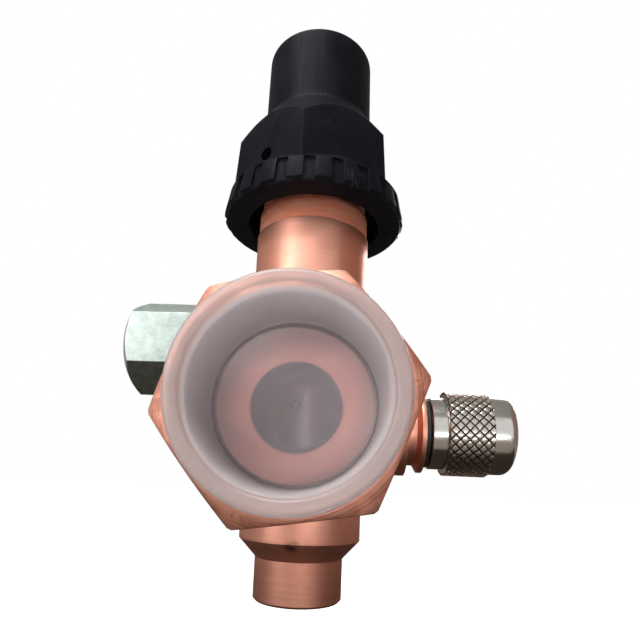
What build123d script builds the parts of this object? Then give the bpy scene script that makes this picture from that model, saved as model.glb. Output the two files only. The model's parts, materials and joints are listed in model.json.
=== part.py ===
from build123d import *
import math
import os

# Refrigerant service valve for a screwed compressor port, in millimetres.
# Origin: centre of the solder socket's mouth. The stem axis runs up +Z, the compressor
# port opens along -Y, and the two gauge ports lie along +X and -X.

# ---- clearances ----
TURN_GAP = 0.2          # radial, between a turning piece and what it turns on
FACE_GAP = 0.1          # between two faces that part when a piece moves
THREAD_GAP = 0.1        # radial, from a male thread's crest to the female thread's root
THREAD_DEPTH = 0.6      # threads are left off: a threaded core is this much smaller

# ---- valve body ----
BODY_DIAMETER = 20.3
SOLDER_TUBE_DIAMETER = 14.7
SOLDER_TUBE_LENGTH = 6.9
SOLDER_BORE = 12.75     # takes a half inch copper tube
SOLDER_DEPTH = 9.5
MOUTH_CHAMFER = 0.4
CONE_HEIGHT = 3.0
STOP_BORE = 10.6        # narrower than the socket, so the copper tube stops on its edge
SEAT_BORE = 10.0
SEAT_HEIGHT = 19.5
SEAT_LAND = 2.0
DISC_GAP = 0.5          # radial, from the disc to its chamber
PORT_AXIS_HEIGHT = 29.4
PORT_PASSAGE = 9.6
BACK_SEAT_GAP = 0.6     # radial, round the stem
BACK_SEAT_LAND = 1.5
SERVICE_BORE = 11.4
THREAD_START_HEIGHT = 44.2
PACKING_BORE = 13.0
PACKING_BORE_DEPTH = 17.5   # from the body's top
COLLAR_HEIGHT = 62.9
COLLAR_STEP = 0.25
NECK_HEIGHT = 67.0
CAP_THREAD_DIAMETER = 19.0
CAP_THREAD_LENGTH = 8.0
BODY_TOP_CHAMFER = 0.8

# ---- compressor port stub and nut ----
STUB_DIAMETER = 16.4
STUB_BORE = 12.4
STUB_BORE_END = 11.4    # from the stem axis
STUB_REACH = 19.6       # seat face, from the stem axis
STUB_FLANGE_GAP = 1.3   # radial, inside the nut's thread
STUB_FLANGE_THICKNESS = 3.2
STUB_BORE_CHAMFER = 0.2
NUT_THREAD_DIAMETER = 25.4
NUT_FLAT_WALL = 1.65    # outside the thread, at the flats
NUT_CORNER_WALL = 3.7   # and at the turned corners
NUT_FACE_WALL = 1.2     # and where the chamfer meets the face
NUT_REACH = 32.2        # front face, from the stem axis
NUT_WALL = 2.6
NUT_CHAMFER_ANGLE = 30.0
NUT_MOUTH_CHAMFER = 0.5
NUT_TURN = 8.9
NUT_SLACK = 0.35        # radial, the nut hangs this loose on the stub
NUT_SAG = 0.2           # how far the nut hangs below the stub's axis

# ---- protective plug ----
PLUG_FLANGE_LAP = 1.15   # radial, over the nut's face from its thread
PLUG_FLANGE_THICKNESS = 2.2
PLUG_SEAT_GAP = 2.1     # from its floor to the stub's seat face
PLUG_WALL = 0.7
PLUG_SKIRT_GAP = 0.7    # radial, inside the nut's thread at its mouth
PLUG_RING_WIDTH = 1.6   # flat front of the flange
PLUG_LIP_DEPTH = 2.2
PLUG_DRAFT = 0.2
PLUG_EDGE = 0.5
PLUG_GATE_DIAMETER = 1.2
PLUG_GATE_HEIGHT = 0.15

# ---- gauge ports ----
RIGHT_PORT_HEIGHT = 28.5
LEFT_PORT_HEIGHT = 42.0
BOSS_DIAMETER = 15.0
SPIGOT_DIAMETER = 8.0
SPIGOT_DEPTH = 2.2      # how far a fitting's spigot reaches into the body's wall
PORT_NECK_DIAMETER = 11.4
PORT_COLLAR_STEP = 1.35 # radial, outside the thread
PORT_COLLAR_THICKNESS = 0.7
PORT_THREAD_DIAMETER = 11.11
PORT_THREAD_LENGTH = 8.4
FLARE_FACE_DIAMETER = 6.4
GAUGE_BORE = 3.2
RIGHT_BOSS_REACH = 17.2
RIGHT_COLLAR_REACH = 20.2
LEFT_BOSS_REACH = 12.9
LEFT_COLLAR_REACH = 15.4

# ---- right port: valve core, sealing ring and knurled cap ----
CORE_BORE = 5.4
CORE_BORE_DEPTH = 19.0
CORE_SINK = 1.3         # core's outer end, below the port's end face
CORE_HEAD_GAP = 0.1     # radial, in the bore
CORE_HEAD_LENGTH = 5.2
CORE_SHANK_DIAMETER = 4.0
CORE_LENGTH = 14.0
CORE_SPRING_BORE = 3.0
CORE_LIP_THICKNESS = 0.8
CORE_LIP_BORE = 1.7
CORE_HEAD_BORE = 2.1
CORE_SLOT_WIDTH = 1.0
CORE_SLOT_DEPTH = 1.2
CORE_SEAL_THICKNESS = 1.4
PIN_DIAMETER = 1.2
PIN_PROUD = 0.5
PIN_COLLAR_DIAMETER = 2.4
PIN_COLLAR_THICKNESS = 0.6
PIN_FOOT_DIAMETER = 3.4
PIN_FOOT_THICKNESS = 1.4
SPRING_COIL_DIAMETER = 2.2
SPRING_WIRE = 0.3
SPRING_TURNS = 5
O_RING_SECTION = 1.0
KNURLED_CAP_LENGTH = 13.8
SKIRT_WALL = 0.55       # walls outside the thread's root
SKIRT_LENGTH = 2.6
KNURL_WALL = 1.6
KNURL_LENGTH = 7.1
KNURL_BEVEL = 0.4
NOSE_WALL = 1.1
NOSE_ROUNDING = 1.6
CAP_SEAL_GAP = 0.35     # radial, inside the thread's root
CAP_SEAL_THICKNESS = 1.6

# ---- left port: hexagon cap and gasket ----
HEX_CAP_FLAT_WALL = 1.8
HEX_CAP_LENGTH = 15.4
HEX_CAP_FACE_INSET = 1.05   # end face, inside the flats
HEX_CAP_CHAMFER_ANGLE = 32.0
HEX_CAP_TURN = 1.5
GASKET_THICKNESS = 1.0

# ---- stem, disc and packing ----
STEM_TRAVEL = 10.0
STEM_DIAMETER = 8.0
STEM_THREAD_RISE = 1.0  # radial, outside the plain stem
STEM_THREAD_LENGTH = 8.0
STEM_SQUARE = 6.35
STEM_SQUARE_LENGTH = 6.0
STEM_PROUD = 6.0        # above the gland nut, valve closed
STEM_HEAD_DIAMETER = 5.4
STEM_HEAD_LENGTH = 1.4
STEM_NECK_DIAMETER = 4.2
DISC_DIAMETER = 13.2
DISC_HEIGHT = 5.0
DISC_LIP_THICKNESS = 1.2
DISC_BEVEL = 0.8
PACKING_WASHER_THICKNESS = 1.0
PACKING_RING_HEIGHT = 1.8
PACKING_RINGS = 3
GLAND_HEAD_STEP = 0.2   # flats, outside the gland's shank
GLAND_HEAD_HEIGHT = 3.0
GLAND_CHAMFER = 0.5
GLAND_CHAMFER_ANGLE = 30.0

# ---- stem cap ----
CAP_RIM_DROP = 1.3      # below the neck's upper end
CAP_HEIGHT = 34.0
CAP_RIM_DIAMETER = 32.8
CAP_RIM_DRAFT = 0.7
CAP_RIM_THICKNESS = 4.45
CAP_RIM_EDGE = 0.6      # chamfer round the rim's lower corner
CAP_LEDGE_WIDTH = 3.0   # cone from the rim band up to the hexagon
CAP_LEDGE_HEIGHT = 2.7
CAP_MOUTH_DIAMETER = 24.0
CAP_MOUTH_DEPTH = 4.1
CAP_GROOVES = 22
CAP_GROOVE_ANGLE = 7.0
CAP_GROOVE_DEPTH = 0.4
CAP_GROOVE_TURN = -0.5
CAP_HEX_CORNER_LOW = 31.2
CAP_HEX_CORNER_HIGH = 26.8
CAP_HEX_TURN = -6.0
CAP_SHOULDER_RISE = 13.5
CAP_SHOULDER_DIAMETER = 29.4
CAP_SHOULDER_ANGLE = 54.0
CAP_SHOULDER_FILLET = 2.0
CAP_CROWN_DIAMETER_LOW = 19.8
CAP_CROWN_DIAMETER_HIGH = 19.4
CAP_TOP_ROUNDING = 1.0
CAP_WALL = 1.8
CAP_SEAL_RING_WIDTH = 1.6
CAP_SEAL_RING_THICKNESS = 1.2
VENT_DIAMETER = 2.5
VENT_TURN = -38.0
VENT_RISE = 8.3
FRONT = -90.0           # polar angle that faces the compressor port's side
HEX_HALF_ANGLE = 30.0   # from the middle of a hexagon's flat to its corner

# ---- places worked out from the sizes above ----
body_radius = BODY_DIAMETER / 2
nut_thread_radius = NUT_THREAD_DIAMETER / 2
stub_flange_radius = nut_thread_radius - STUB_FLANGE_GAP
chamber_bore = DISC_DIAMETER + 2 * DISC_GAP
back_seat_bore = STEM_DIAMETER + 2 * BACK_SEAT_GAP
stem_thread_diameter = STEM_DIAMETER + 2 * STEM_THREAD_RISE
gland_shank_diameter = PACKING_BORE - TURN_GAP
gland_across_flats = gland_shank_diameter + 2 * GLAND_HEAD_STEP
core_head_diameter = CORE_BORE - 2 * CORE_HEAD_GAP
cone_top_height = SOLDER_TUBE_LENGTH + CONE_HEIGHT
cap_thread_core = CAP_THREAD_DIAMETER / 2 - THREAD_DEPTH
body_top_height = NECK_HEIGHT + CAP_THREAD_LENGTH
packing_floor_height = body_top_height - PACKING_BORE_DEPTH
stem_top_height = body_top_height + GLAND_HEAD_HEIGHT + STEM_PROUD
disc_low_height = SEAT_HEIGHT + FACE_GAP
disc_top_height = disc_low_height + DISC_HEIGHT
back_seat_height = disc_top_height + STEM_TRAVEL + FACE_GAP
service_floor_height = back_seat_height + BACK_SEAT_LAND
stem_thread_bore = stem_thread_diameter + 2 * THREAD_GAP
stem_clear_bore = STEM_DIAMETER + 2 * TURN_GAP
flange_back_reach = STUB_REACH - STUB_FLANGE_THICKNESS
nut_floor_reach = flange_back_reach - TURN_GAP
port_thread_core = PORT_THREAD_DIAMETER / 2 - THREAD_DEPTH
port_thread_root = PORT_THREAD_DIAMETER / 2 + THREAD_GAP
cap_seal_diameter = 2 * (port_thread_root - CAP_SEAL_GAP)
flare_length = port_thread_core - FLARE_FACE_DIAMETER / 2
right_end_reach = RIGHT_COLLAR_REACH + PORT_THREAD_LENGTH + flare_length
left_end_reach = LEFT_COLLAR_REACH + PORT_THREAD_LENGTH + flare_length
core_top_reach = right_end_reach - CORE_SINK
core_head_low = core_top_reach - CORE_HEAD_LENGTH
core_foot_reach = core_top_reach - CORE_LENGTH
packing_top_height = (
    packing_floor_height + PACKING_WASHER_THICKNESS + PACKING_RINGS * PACKING_RING_HEIGHT
)
stem_cap_seat_height = body_top_height + CAP_SEAL_RING_THICKNESS + 2 * FACE_GAP
cap_thread_root = CAP_THREAD_DIAMETER / 2 + THREAD_GAP
cap_rim_height = NECK_HEIGHT - CAP_RIM_DROP
cap_top_height = cap_rim_height + CAP_HEIGHT
cap_shoulder_height = cap_rim_height + CAP_SHOULDER_RISE


def turned(corners):
    """Solid turned about +Z from (radius, height) corners."""
    outline = Polyline(*[(radius, 0, height) for radius, height in corners], close=True)
    return revolve(make_face(outline), Axis.Z)


def rod(diameter, low, high):
    return Pos(0, 0, low) * extrude(Circle(diameter / 2), high - low)


def ring(outer, inner, low, high):
    return Pos(0, 0, low) * extrude(Circle(outer / 2) - Circle(inner / 2), high - low)


def hex_bar(across_flats, low, high, turn=0.0):
    outline = Rot(0, 0, turn) * RegularPolygon(across_flats / math.sqrt(3), 6)
    return Pos(0, 0, low) * extrude(outline, high - low)


def chamfered_blank(face_diameter, corner_diameter, angle, low, high, both_ends=True):
    """Turned blank that rounds a hexagon's corners and chamfers its ends."""
    drop = (corner_diameter - face_diameter) / 2 * math.tan(math.radians(angle))
    low_corners = [(face_diameter / 2, low), (corner_diameter / 2, low + drop)]
    if not both_ends:
        low_corners = [(corner_diameter / 2, low)]
    high_corners = [(corner_diameter / 2, high - drop), (face_diameter / 2, high)]
    return turned([(0, low)] + low_corners + high_corners + [(0, high)])


def to_right(piece, height):
    """Lay a piece that was turned about +Z along +X, at a height on the body."""
    return Pos(0, 0, height) * Rot(0, 90, 0) * piece


def to_left(piece, height):
    return Pos(0, 0, height) * Rot(0, -90, 0) * piece


def to_front(piece):
    return Pos(0, 0, PORT_AXIS_HEIGHT) * Rot(90, 0, 0) * piece


def save(name, *pieces):
    shape = pieces[0] if len(pieces) == 1 else Compound(children=list(pieces))
    export_step(shape, os.path.join("parts", name + ".step"))
    print(name, len(shape.solids()), round(shape.volume, 2))


# ---- valve body ----
def make_valve_body():
    step_radius = body_radius - COLLAR_STEP
    mouth_radius = SOLDER_TUBE_DIAMETER / 2
    outside = turned([
        (0, 0),
        (mouth_radius - MOUTH_CHAMFER, 0),
        (mouth_radius, MOUTH_CHAMFER),
        (mouth_radius, SOLDER_TUBE_LENGTH),
        (body_radius, cone_top_height),
        (body_radius, COLLAR_HEIGHT),
        (step_radius, COLLAR_HEIGHT + COLLAR_STEP),
        (step_radius, NECK_HEIGHT),
        (cap_thread_core, NECK_HEIGHT),
        (cap_thread_core, body_top_height - BODY_TOP_CHAMFER),
        (cap_thread_core - BODY_TOP_CHAMFER, body_top_height),
        (0, body_top_height),
    ])
    bores = [
        (SOLDER_BORE, 0, SOLDER_DEPTH),
        (STOP_BORE, SOLDER_DEPTH, SEAT_HEIGHT - SEAT_LAND),
        (SEAT_BORE, SEAT_HEIGHT - SEAT_LAND, SEAT_HEIGHT),
        (chamber_bore, SEAT_HEIGHT, back_seat_height),
        (back_seat_bore, back_seat_height, service_floor_height),
        (SERVICE_BORE, service_floor_height, THREAD_START_HEIGHT),
        (stem_thread_bore, THREAD_START_HEIGHT, packing_floor_height),
        (PACKING_BORE, packing_floor_height, body_top_height),
    ]
    corners = [(0, 0)]
    for diameter, low, high in bores:
        corners += [(diameter / 2, low), (diameter / 2, high)]
    corners.append((0, body_top_height))
    body = outside - turned(corners)
    body -= to_front(rod(PORT_PASSAGE, 0, body_radius))
    for place, height in ((to_right, RIGHT_PORT_HEIGHT), (to_left, LEFT_PORT_HEIGHT)):
        body -= place(rod(GAUGE_BORE, 0, body_radius), height)
        body -= place(rod(SPIGOT_DIAMETER, body_radius - SPIGOT_DEPTH, BODY_DIAMETER), height)
    return body


# ---- compressor port ----
def make_compressor_stub():
    stub = rod(STUB_DIAMETER, 0, STUB_REACH) + rod(2 * stub_flange_radius, flange_back_reach, STUB_REACH)
    bore = turned([
        (0, 0),
        (PORT_PASSAGE / 2, 0),
        (PORT_PASSAGE / 2, STUB_BORE_END),
        (STUB_BORE / 2, STUB_BORE_END + (STUB_BORE - PORT_PASSAGE) / 2),
        (STUB_BORE / 2, STUB_REACH - STUB_BORE_CHAMFER),
        (STUB_BORE / 2 + STUB_BORE_CHAMFER, STUB_REACH),
        (0, STUB_REACH),
    ])
    barrel = rod(BODY_DIAMETER, 0, body_top_height)
    return to_front(stub - bore) - barrel


def make_compressor_nut():
    nut_back_reach = nut_floor_reach - NUT_WALL
    across_flats = NUT_THREAD_DIAMETER + 2 * NUT_FLAT_WALL
    corner_diameter = NUT_THREAD_DIAMETER + 2 * NUT_CORNER_WALL
    face_diameter = NUT_THREAD_DIAMETER + 2 * NUT_FACE_WALL
    nut = hex_bar(across_flats, nut_back_reach, NUT_REACH, NUT_TURN)
    nut &= chamfered_blank(
        face_diameter, corner_diameter, NUT_CHAMFER_ANGLE, nut_back_reach, NUT_REACH
    )
    hollow = turned([
        (0, nut_back_reach),
        (STUB_DIAMETER / 2 + NUT_SLACK, nut_back_reach),
        (STUB_DIAMETER / 2 + NUT_SLACK, nut_floor_reach),
        (nut_thread_radius, nut_floor_reach),
        (nut_thread_radius, NUT_REACH - NUT_MOUTH_CHAMFER),
        (nut_thread_radius + NUT_MOUTH_CHAMFER, NUT_REACH),
        (0, NUT_REACH),
    ])
    return Pos(0, 0, -NUT_SAG) * to_front(nut - hollow)


def make_protective_plug():
    flange_low = NUT_REACH + FACE_GAP
    front = flange_low + PLUG_FLANGE_THICKNESS
    floor = STUB_REACH + PLUG_SEAT_GAP + PLUG_WALL
    skirt_radius = nut_thread_radius - PLUG_SKIRT_GAP
    floor_radius = skirt_radius - PLUG_DRAFT - PLUG_WALL
    flange_radius = nut_thread_radius + PLUG_FLANGE_LAP
    lip_low = front - PLUG_LIP_DEPTH
    plug = turned([
        (0, floor - PLUG_WALL),
        (skirt_radius - 2 * PLUG_DRAFT, floor - PLUG_WALL),
        (skirt_radius, flange_low),
        (flange_radius - PLUG_EDGE, flange_low),
        (flange_radius, flange_low + PLUG_EDGE),
        (flange_radius, front - PLUG_EDGE),
        (flange_radius - PLUG_EDGE, front),
        (flange_radius - PLUG_RING_WIDTH, front),
        (floor_radius + PLUG_DRAFT, lip_low),
        (floor_radius, floor),
        (0, floor),
    ])
    return to_front(plug + rod(PLUG_GATE_DIAMETER, floor, floor + PLUG_GATE_HEIGHT))


# ---- gauge port fittings ----
def make_fitting(boss_reach, collar_reach, end_reach):
    """Port fitting brazed into the body: boss, neck, collar, threaded core and flare cone."""
    neck_radius = PORT_NECK_DIAMETER / 2
    collar_radius = PORT_THREAD_DIAMETER / 2 + PORT_COLLAR_STEP
    collar_low = collar_reach - PORT_COLLAR_THICKNESS
    fitting = turned([
        (0, 0),
        (BOSS_DIAMETER / 2, 0),
        (BOSS_DIAMETER / 2, boss_reach),
        (neck_radius, boss_reach),
        (neck_radius, collar_low - PORT_COLLAR_THICKNESS),
        (collar_radius, collar_low),
        (collar_radius, collar_reach),
        (port_thread_core, collar_reach),
        (port_thread_core, collar_reach + PORT_THREAD_LENGTH),
        (FLARE_FACE_DIAMETER / 2, end_reach),
        (0, end_reach),
    ])
    barrel = rod(BODY_DIAMETER, -body_radius - BOSS_DIAMETER, body_radius + BOSS_DIAMETER)
    fitting -= Rot(0, 90, 0) * barrel
    fitting += rod(SPIGOT_DIAMETER, body_radius - SPIGOT_DEPTH, boss_reach)
    return fitting - rod(GAUGE_BORE, 0, end_reach)


def make_right_fitting():
    fitting = make_fitting(RIGHT_BOSS_REACH, RIGHT_COLLAR_REACH, right_end_reach)
    fitting -= rod(CORE_BORE, right_end_reach - CORE_BORE_DEPTH, right_end_reach)
    return to_right(fitting, RIGHT_PORT_HEIGHT) - to_front(rod(STUB_DIAMETER, 0, STUB_REACH))


def make_left_fitting():
    return to_left(make_fitting(LEFT_BOSS_REACH, LEFT_COLLAR_REACH, left_end_reach), LEFT_PORT_HEIGHT)


# ---- valve core ----
def make_core_body():
    core = rod(core_head_diameter, core_head_low, core_top_reach)
    core += rod(CORE_SHANK_DIAMETER, core_foot_reach, core_head_low)
    core -= rod(CORE_HEAD_BORE, core_head_low, core_top_reach)
    core -= rod(CORE_SPRING_BORE, core_foot_reach + CORE_LIP_THICKNESS, core_head_low)
    core -= rod(CORE_LIP_BORE, core_foot_reach, core_foot_reach + CORE_LIP_THICKNESS)
    slot = Box(core_head_diameter, CORE_SLOT_WIDTH, 2 * CORE_SLOT_DEPTH)
    core -= Pos(0, 0, core_top_reach) * slot
    return to_right(core, RIGHT_PORT_HEIGHT)


def make_core_seal():
    seal = turned([
        (CORE_SHANK_DIAMETER / 2, core_head_low - CORE_SEAL_THICKNESS),
        (core_head_diameter / 2 - TURN_GAP, core_head_low - CORE_SEAL_THICKNESS),
        (CORE_BORE / 2, core_head_low),
        (CORE_SHANK_DIAMETER / 2, core_head_low),
    ])
    return to_right(seal, RIGHT_PORT_HEIGHT)


pin_collar_high = core_head_low - FACE_GAP
pin_collar_low = pin_collar_high - PIN_COLLAR_THICKNESS
pin_foot_high = core_foot_reach - FACE_GAP


def make_core_pin():
    pin = rod(PIN_DIAMETER, pin_foot_high, core_top_reach + PIN_PROUD)
    pin += rod(PIN_COLLAR_DIAMETER, pin_collar_low, pin_collar_high)
    pin += rod(PIN_FOOT_DIAMETER, pin_foot_high - PIN_FOOT_THICKNESS, pin_foot_high)
    return to_right(pin, RIGHT_PORT_HEIGHT)


def make_core_spring():
    low = core_foot_reach + CORE_LIP_THICKNESS + SPRING_WIRE / 2
    high = pin_collar_low - SPRING_WIRE / 2
    path = Helix((high - low) / SPRING_TURNS, high - low, SPRING_COIL_DIAMETER / 2)
    section = Plane(origin=path @ 0, z_dir=path % 0) * Rectangle(SPRING_WIRE * 0.8, SPRING_WIRE * 0.8)
    coil = sweep(section, path=path, is_frenet=True)
    return to_right(Pos(0, 0, low) * coil, RIGHT_PORT_HEIGHT)


# ---- right port cap ----
right_cap_low = RIGHT_COLLAR_REACH + O_RING_SECTION + FACE_GAP
right_seal_low = right_end_reach + FACE_GAP
right_seal_high = right_seal_low + CAP_SEAL_THICKNESS


def make_o_ring():
    """The ring, squeezed flat on its sides between the collar and the cap."""
    outer = port_thread_core + O_RING_SECTION
    low, high = RIGHT_COLLAR_REACH, RIGHT_COLLAR_REACH + O_RING_SECTION
    bulge = O_RING_SECTION / 4
    o_ring = turned([
        (port_thread_core, low),
        (outer - bulge, low),
        (outer, low + bulge),
        (outer, high - bulge),
        (outer - bulge, high),
        (port_thread_core, high),
    ])
    return to_right(o_ring, RIGHT_PORT_HEIGHT)


def make_right_cap():
    knurl_low = right_cap_low + SKIRT_LENGTH
    knurl_high = knurl_low + KNURL_LENGTH
    top = right_cap_low + KNURLED_CAP_LENGTH
    skirt_radius = port_thread_root + SKIRT_WALL
    knurl_radius = port_thread_root + KNURL_WALL
    nose_radius = port_thread_root + NOSE_WALL
    cap = turned([
        (0, right_cap_low),
        (skirt_radius, right_cap_low),
        (skirt_radius, knurl_low),
        (knurl_radius - KNURL_BEVEL, knurl_low),
        (knurl_radius, knurl_low + KNURL_BEVEL),
        (knurl_radius, knurl_high - KNURL_BEVEL),
        (knurl_radius - KNURL_BEVEL, knurl_high),
        (nose_radius, knurl_high),
        (nose_radius, top),
        (0, top),
    ])
    cap = fillet(cap.faces().sort_by(Axis.Z)[-1].edges(), NOSE_ROUNDING)
    cap -= rod(2 * port_thread_root, right_cap_low, right_seal_high + FACE_GAP)
    return to_right(cap, RIGHT_PORT_HEIGHT)


def make_right_seal():
    return to_right(rod(cap_seal_diameter, right_seal_low, right_seal_high), RIGHT_PORT_HEIGHT)


# ---- left port cap ----
left_cap_low = LEFT_COLLAR_REACH + FACE_GAP
left_gasket_low = left_end_reach + FACE_GAP
left_gasket_high = left_gasket_low + GASKET_THICKNESS


def make_left_cap():
    top = left_cap_low + HEX_CAP_LENGTH
    across_flats = 2 * (port_thread_root + HEX_CAP_FLAT_WALL)
    corner = across_flats / math.cos(math.radians(HEX_HALF_ANGLE))
    face_diameter = across_flats - 2 * HEX_CAP_FACE_INSET
    # laid along -X, a hexagon that isn't turned has a flat to the front
    cap = hex_bar(across_flats, left_cap_low, top, HEX_CAP_TURN)
    cap &= chamfered_blank(
        face_diameter, corner, HEX_CAP_CHAMFER_ANGLE, left_cap_low, top, both_ends=False
    )
    cap -= rod(2 * port_thread_root, left_cap_low, left_gasket_high + FACE_GAP)
    return to_left(cap, LEFT_PORT_HEIGHT)


def make_left_gasket():
    gasket = ring(cap_seal_diameter, GAUGE_BORE, left_gasket_low, left_gasket_high)
    return to_left(gasket, LEFT_PORT_HEIGHT)


# ---- stem, disc and packing ----
disc_cavity_floor = disc_top_height - DISC_LIP_THICKNESS - STEM_HEAD_LENGTH - 2 * FACE_GAP


def make_stem_disc():
    radius = DISC_DIAMETER / 2
    disc = turned([
        (0, disc_low_height),
        (radius - DISC_BEVEL, disc_low_height),
        (radius, disc_low_height + DISC_BEVEL),
        (radius, disc_top_height - DISC_BEVEL),
        (radius - DISC_BEVEL, disc_top_height),
        (0, disc_top_height),
    ])
    disc -= rod(STEM_NECK_DIAMETER + 2 * TURN_GAP, disc_top_height - DISC_LIP_THICKNESS, disc_top_height)
    disc -= rod(STEM_HEAD_DIAMETER + 2 * TURN_GAP, disc_cavity_floor, disc_top_height - DISC_LIP_THICKNESS)
    return disc


def make_stem():
    head_low = disc_cavity_floor + FACE_GAP
    head_high = head_low + STEM_HEAD_LENGTH
    thread_high = packing_floor_height - STEM_TRAVEL - TURN_GAP
    thread_low = thread_high - STEM_THREAD_LENGTH
    thread_core = stem_thread_diameter / 2 - THREAD_DEPTH
    stem = turned([
        (0, head_low),
        (STEM_HEAD_DIAMETER / 2, head_low),
        (STEM_HEAD_DIAMETER / 2, head_high),
        (STEM_NECK_DIAMETER / 2, head_high),
        (STEM_NECK_DIAMETER / 2, disc_top_height + FACE_GAP),
        (STEM_DIAMETER / 2, disc_top_height + FACE_GAP),
        (STEM_DIAMETER / 2, thread_low),
        (thread_core, thread_low),
        (thread_core, thread_high),
        (STEM_DIAMETER / 2, thread_high),
        (STEM_DIAMETER / 2, stem_top_height),
        (0, stem_top_height),
    ])
    square_low = stem_top_height - STEM_SQUARE_LENGTH
    square = Pos(0, 0, square_low) * extrude(Rectangle(STEM_SQUARE, STEM_SQUARE), STEM_SQUARE_LENGTH)
    return stem - (rod(2 * STEM_DIAMETER, square_low, stem_top_height) - square)


def make_packing_washer():
    top = packing_floor_height + PACKING_WASHER_THICKNESS
    return ring(PACKING_BORE - TURN_GAP, stem_clear_bore, packing_floor_height, top)


def make_packing_rings():
    rings = []
    low = packing_floor_height + PACKING_WASHER_THICKNESS
    for index in range(PACKING_RINGS):
        ring_low = low + index * PACKING_RING_HEIGHT
        ring_high = ring_low + PACKING_RING_HEIGHT
        rings.append(ring(PACKING_BORE - TURN_GAP, stem_clear_bore, ring_low, ring_high))
    return rings


def make_gland_nut():
    top = body_top_height + GLAND_HEAD_HEIGHT
    head = hex_bar(gland_across_flats, body_top_height, top)
    corner = gland_across_flats / math.cos(math.radians(HEX_HALF_ANGLE))
    face_diameter = corner - 2 * GLAND_CHAMFER
    head &= chamfered_blank(face_diameter, corner, GLAND_CHAMFER_ANGLE, body_top_height, top, False)
    nut = head + rod(gland_shank_diameter, packing_top_height, body_top_height)
    return nut - rod(stem_clear_bore, packing_top_height, top)


# ---- stem cap ----
def cap_outline():
    """Half section of the cap's outside: rim, cone of the shoulder and tapered crown."""
    slope = math.tan(math.radians(CAP_SHOULDER_ANGLE))
    crown_low = cap_shoulder_height + (CAP_SHOULDER_DIAMETER - CAP_CROWN_DIAMETER_LOW) / 2 * slope
    widest = CAP_RIM_DIAMETER / 2
    cone_low = cap_shoulder_height - (widest - CAP_SHOULDER_DIAMETER / 2) * slope
    corners = [
        (0, cap_rim_height),
        (widest, cap_rim_height),
        (widest, cone_low),
        (CAP_CROWN_DIAMETER_LOW / 2, crown_low),
        (CAP_CROWN_DIAMETER_HIGH / 2, cap_top_height),
        (0, cap_top_height),
    ]
    face = make_face(Polyline(*[(radius, 0, height) for radius, height in corners], close=True))
    for (radius, height), rounding in ((corners[3], CAP_SHOULDER_FILLET), (corners[4], CAP_TOP_ROUNDING)):
        corner = face.vertices().sort_by_distance((radius, 0, height))[0]
        face = fillet(corner, rounding)
    return face


def cap_rim():
    """Rim band with a pattern of shallow grooves between broad ribs."""
    low_radius = CAP_RIM_DIAMETER / 2
    high_radius = low_radius - CAP_RIM_DRAFT
    band_top = cap_rim_height + CAP_RIM_THICKNESS
    band = turned([
        (0, cap_rim_height),
        (low_radius - CAP_RIM_EDGE, cap_rim_height),
        (low_radius, cap_rim_height + CAP_RIM_EDGE),
        (high_radius, band_top),
        (high_radius - CAP_LEDGE_WIDTH, band_top + CAP_LEDGE_HEIGHT),
        (0, band_top + CAP_LEDGE_HEIGHT),
    ])
    groove_ring = turned([
        (low_radius - CAP_GROOVE_DEPTH, cap_rim_height),
        (2 * low_radius, cap_rim_height),
        (2 * low_radius, band_top),
        (high_radius - CAP_GROOVE_DEPTH, band_top),
    ])
    half_width = 2 * low_radius * math.tan(math.radians(CAP_GROOVE_ANGLE / 2))
    wedge = make_face(
        Polyline((0, 0), (2 * low_radius, -half_width), (2 * low_radius, half_width), close=True)
    )
    wedges = [
        Rot(0, 0, FRONT + CAP_GROOVE_TURN + index * 360 / CAP_GROOVES) * wedge
        for index in range(CAP_GROOVES)
    ]
    for groove in wedges:
        band -= groove_ring & (Pos(0, 0, cap_rim_height) * extrude(groove, CAP_RIM_THICKNESS))
    return band


def make_stem_cap():
    turn = Rot(0, 0, FRONT + CAP_HEX_TURN)
    low_hex = Pos(0, 0, cap_rim_height) * turn * RegularPolygon(CAP_HEX_CORNER_LOW / 2, 6)
    high_hex = Pos(0, 0, cap_top_height) * turn * RegularPolygon(CAP_HEX_CORNER_HIGH / 2, 6)
    cap = loft([low_hex, high_hex], ruled=True) & revolve(cap_outline(), Axis.Z)
    cap += cap_rim()
    cavity_low = CAP_CROWN_DIAMETER_LOW / 2 - CAP_WALL
    cavity_high = CAP_CROWN_DIAMETER_HIGH / 2 - CAP_WALL
    cap -= turned([
        (0, cap_rim_height),
        (CAP_MOUTH_DIAMETER / 2, cap_rim_height),
        (CAP_MOUTH_DIAMETER / 2, cap_rim_height + CAP_MOUTH_DEPTH),
        (cap_thread_root, cap_rim_height + CAP_MOUTH_DEPTH),
        (cap_thread_root, stem_cap_seat_height),
        (cavity_low, stem_cap_seat_height),
        (cavity_high, cap_top_height - CAP_WALL),
        (0, cap_top_height - CAP_WALL),
    ])
    vent = Rot(0, 90, 0) * rod(VENT_DIAMETER, 0, CAP_RIM_DIAMETER)
    return cap - Pos(0, 0, cap_rim_height + VENT_RISE) * Rot(0, 0, FRONT + VENT_TURN) * vent


def make_stem_cap_seal():
    low = body_top_height + FACE_GAP
    outer = 2 * (cap_thread_root - FACE_GAP)
    return ring(outer, outer - 2 * CAP_SEAL_RING_WIDTH, low, low + CAP_SEAL_RING_THICKNESS)


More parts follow.
